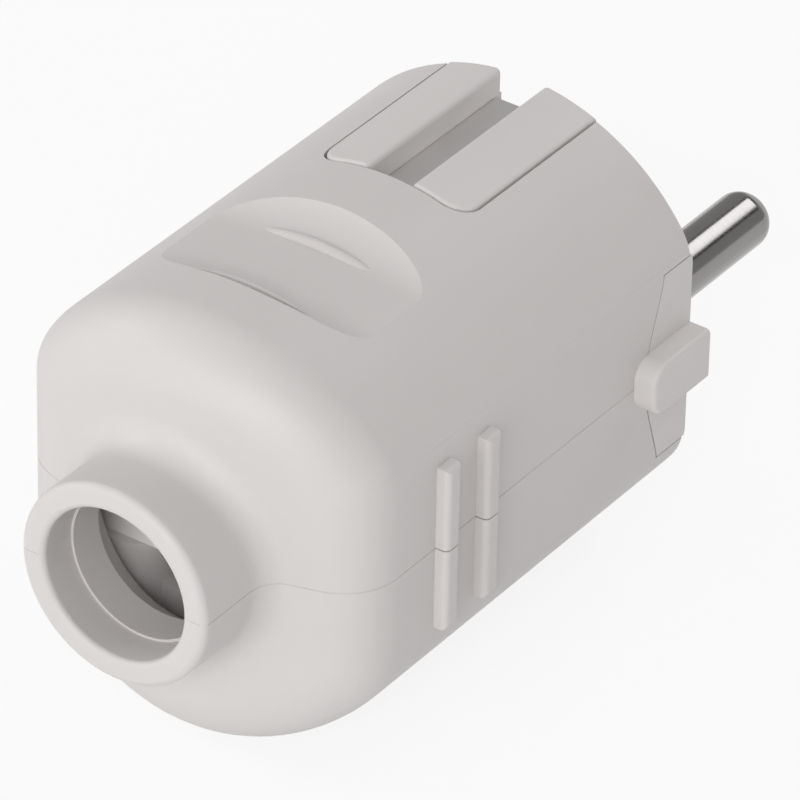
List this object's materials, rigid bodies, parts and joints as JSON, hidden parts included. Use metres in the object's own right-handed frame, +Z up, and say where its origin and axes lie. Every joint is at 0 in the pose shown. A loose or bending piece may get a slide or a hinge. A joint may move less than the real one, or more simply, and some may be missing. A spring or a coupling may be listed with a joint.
{
  "type": "rewirable mains plug",
  "caption": "Rewirable type F mains plug: split moulded housing with finger scoops and grip ribs, round contact pins, earth strips in channels and a cord collar.",
  "frame": {"origin": "centre of the front face, midway between the pins", "axes": "+Y along the pins and out of the front face, +Z up across the halves, +X right seen from the collar"},
  "size_m": [0.036, 0.071, 0.0368],
  "materials": {
    "housing_plastic": "fine matte",
    "carrier_plastic": "fine matte",
    "clamp_plastic": "matte",
    "pin_metal": "nickel plated",
    "earth_metal": "nickel plated",
    "screw_steel": "zinc plated"
  },
  "bodies": {
    "root": {"upper_shell": "housing_plastic", "lower_shell": "housing_plastic", "pin_carrier": "carrier_plastic", "contact_pin_right": "pin_metal", "contact_pin_left": "pin_metal", "terminal_screws": "screw_steel", "earth_strap": "earth_metal", "earth_clamp_plate": "earth_metal", "earth_screw": "screw_steel", "cord_clamp_bar": "clamp_plastic", "cord_clamp_screws": "screw_steel", "housing_screw": "screw_steel", "housing_nut": "screw_steel"}
  },
  "joints": []
}
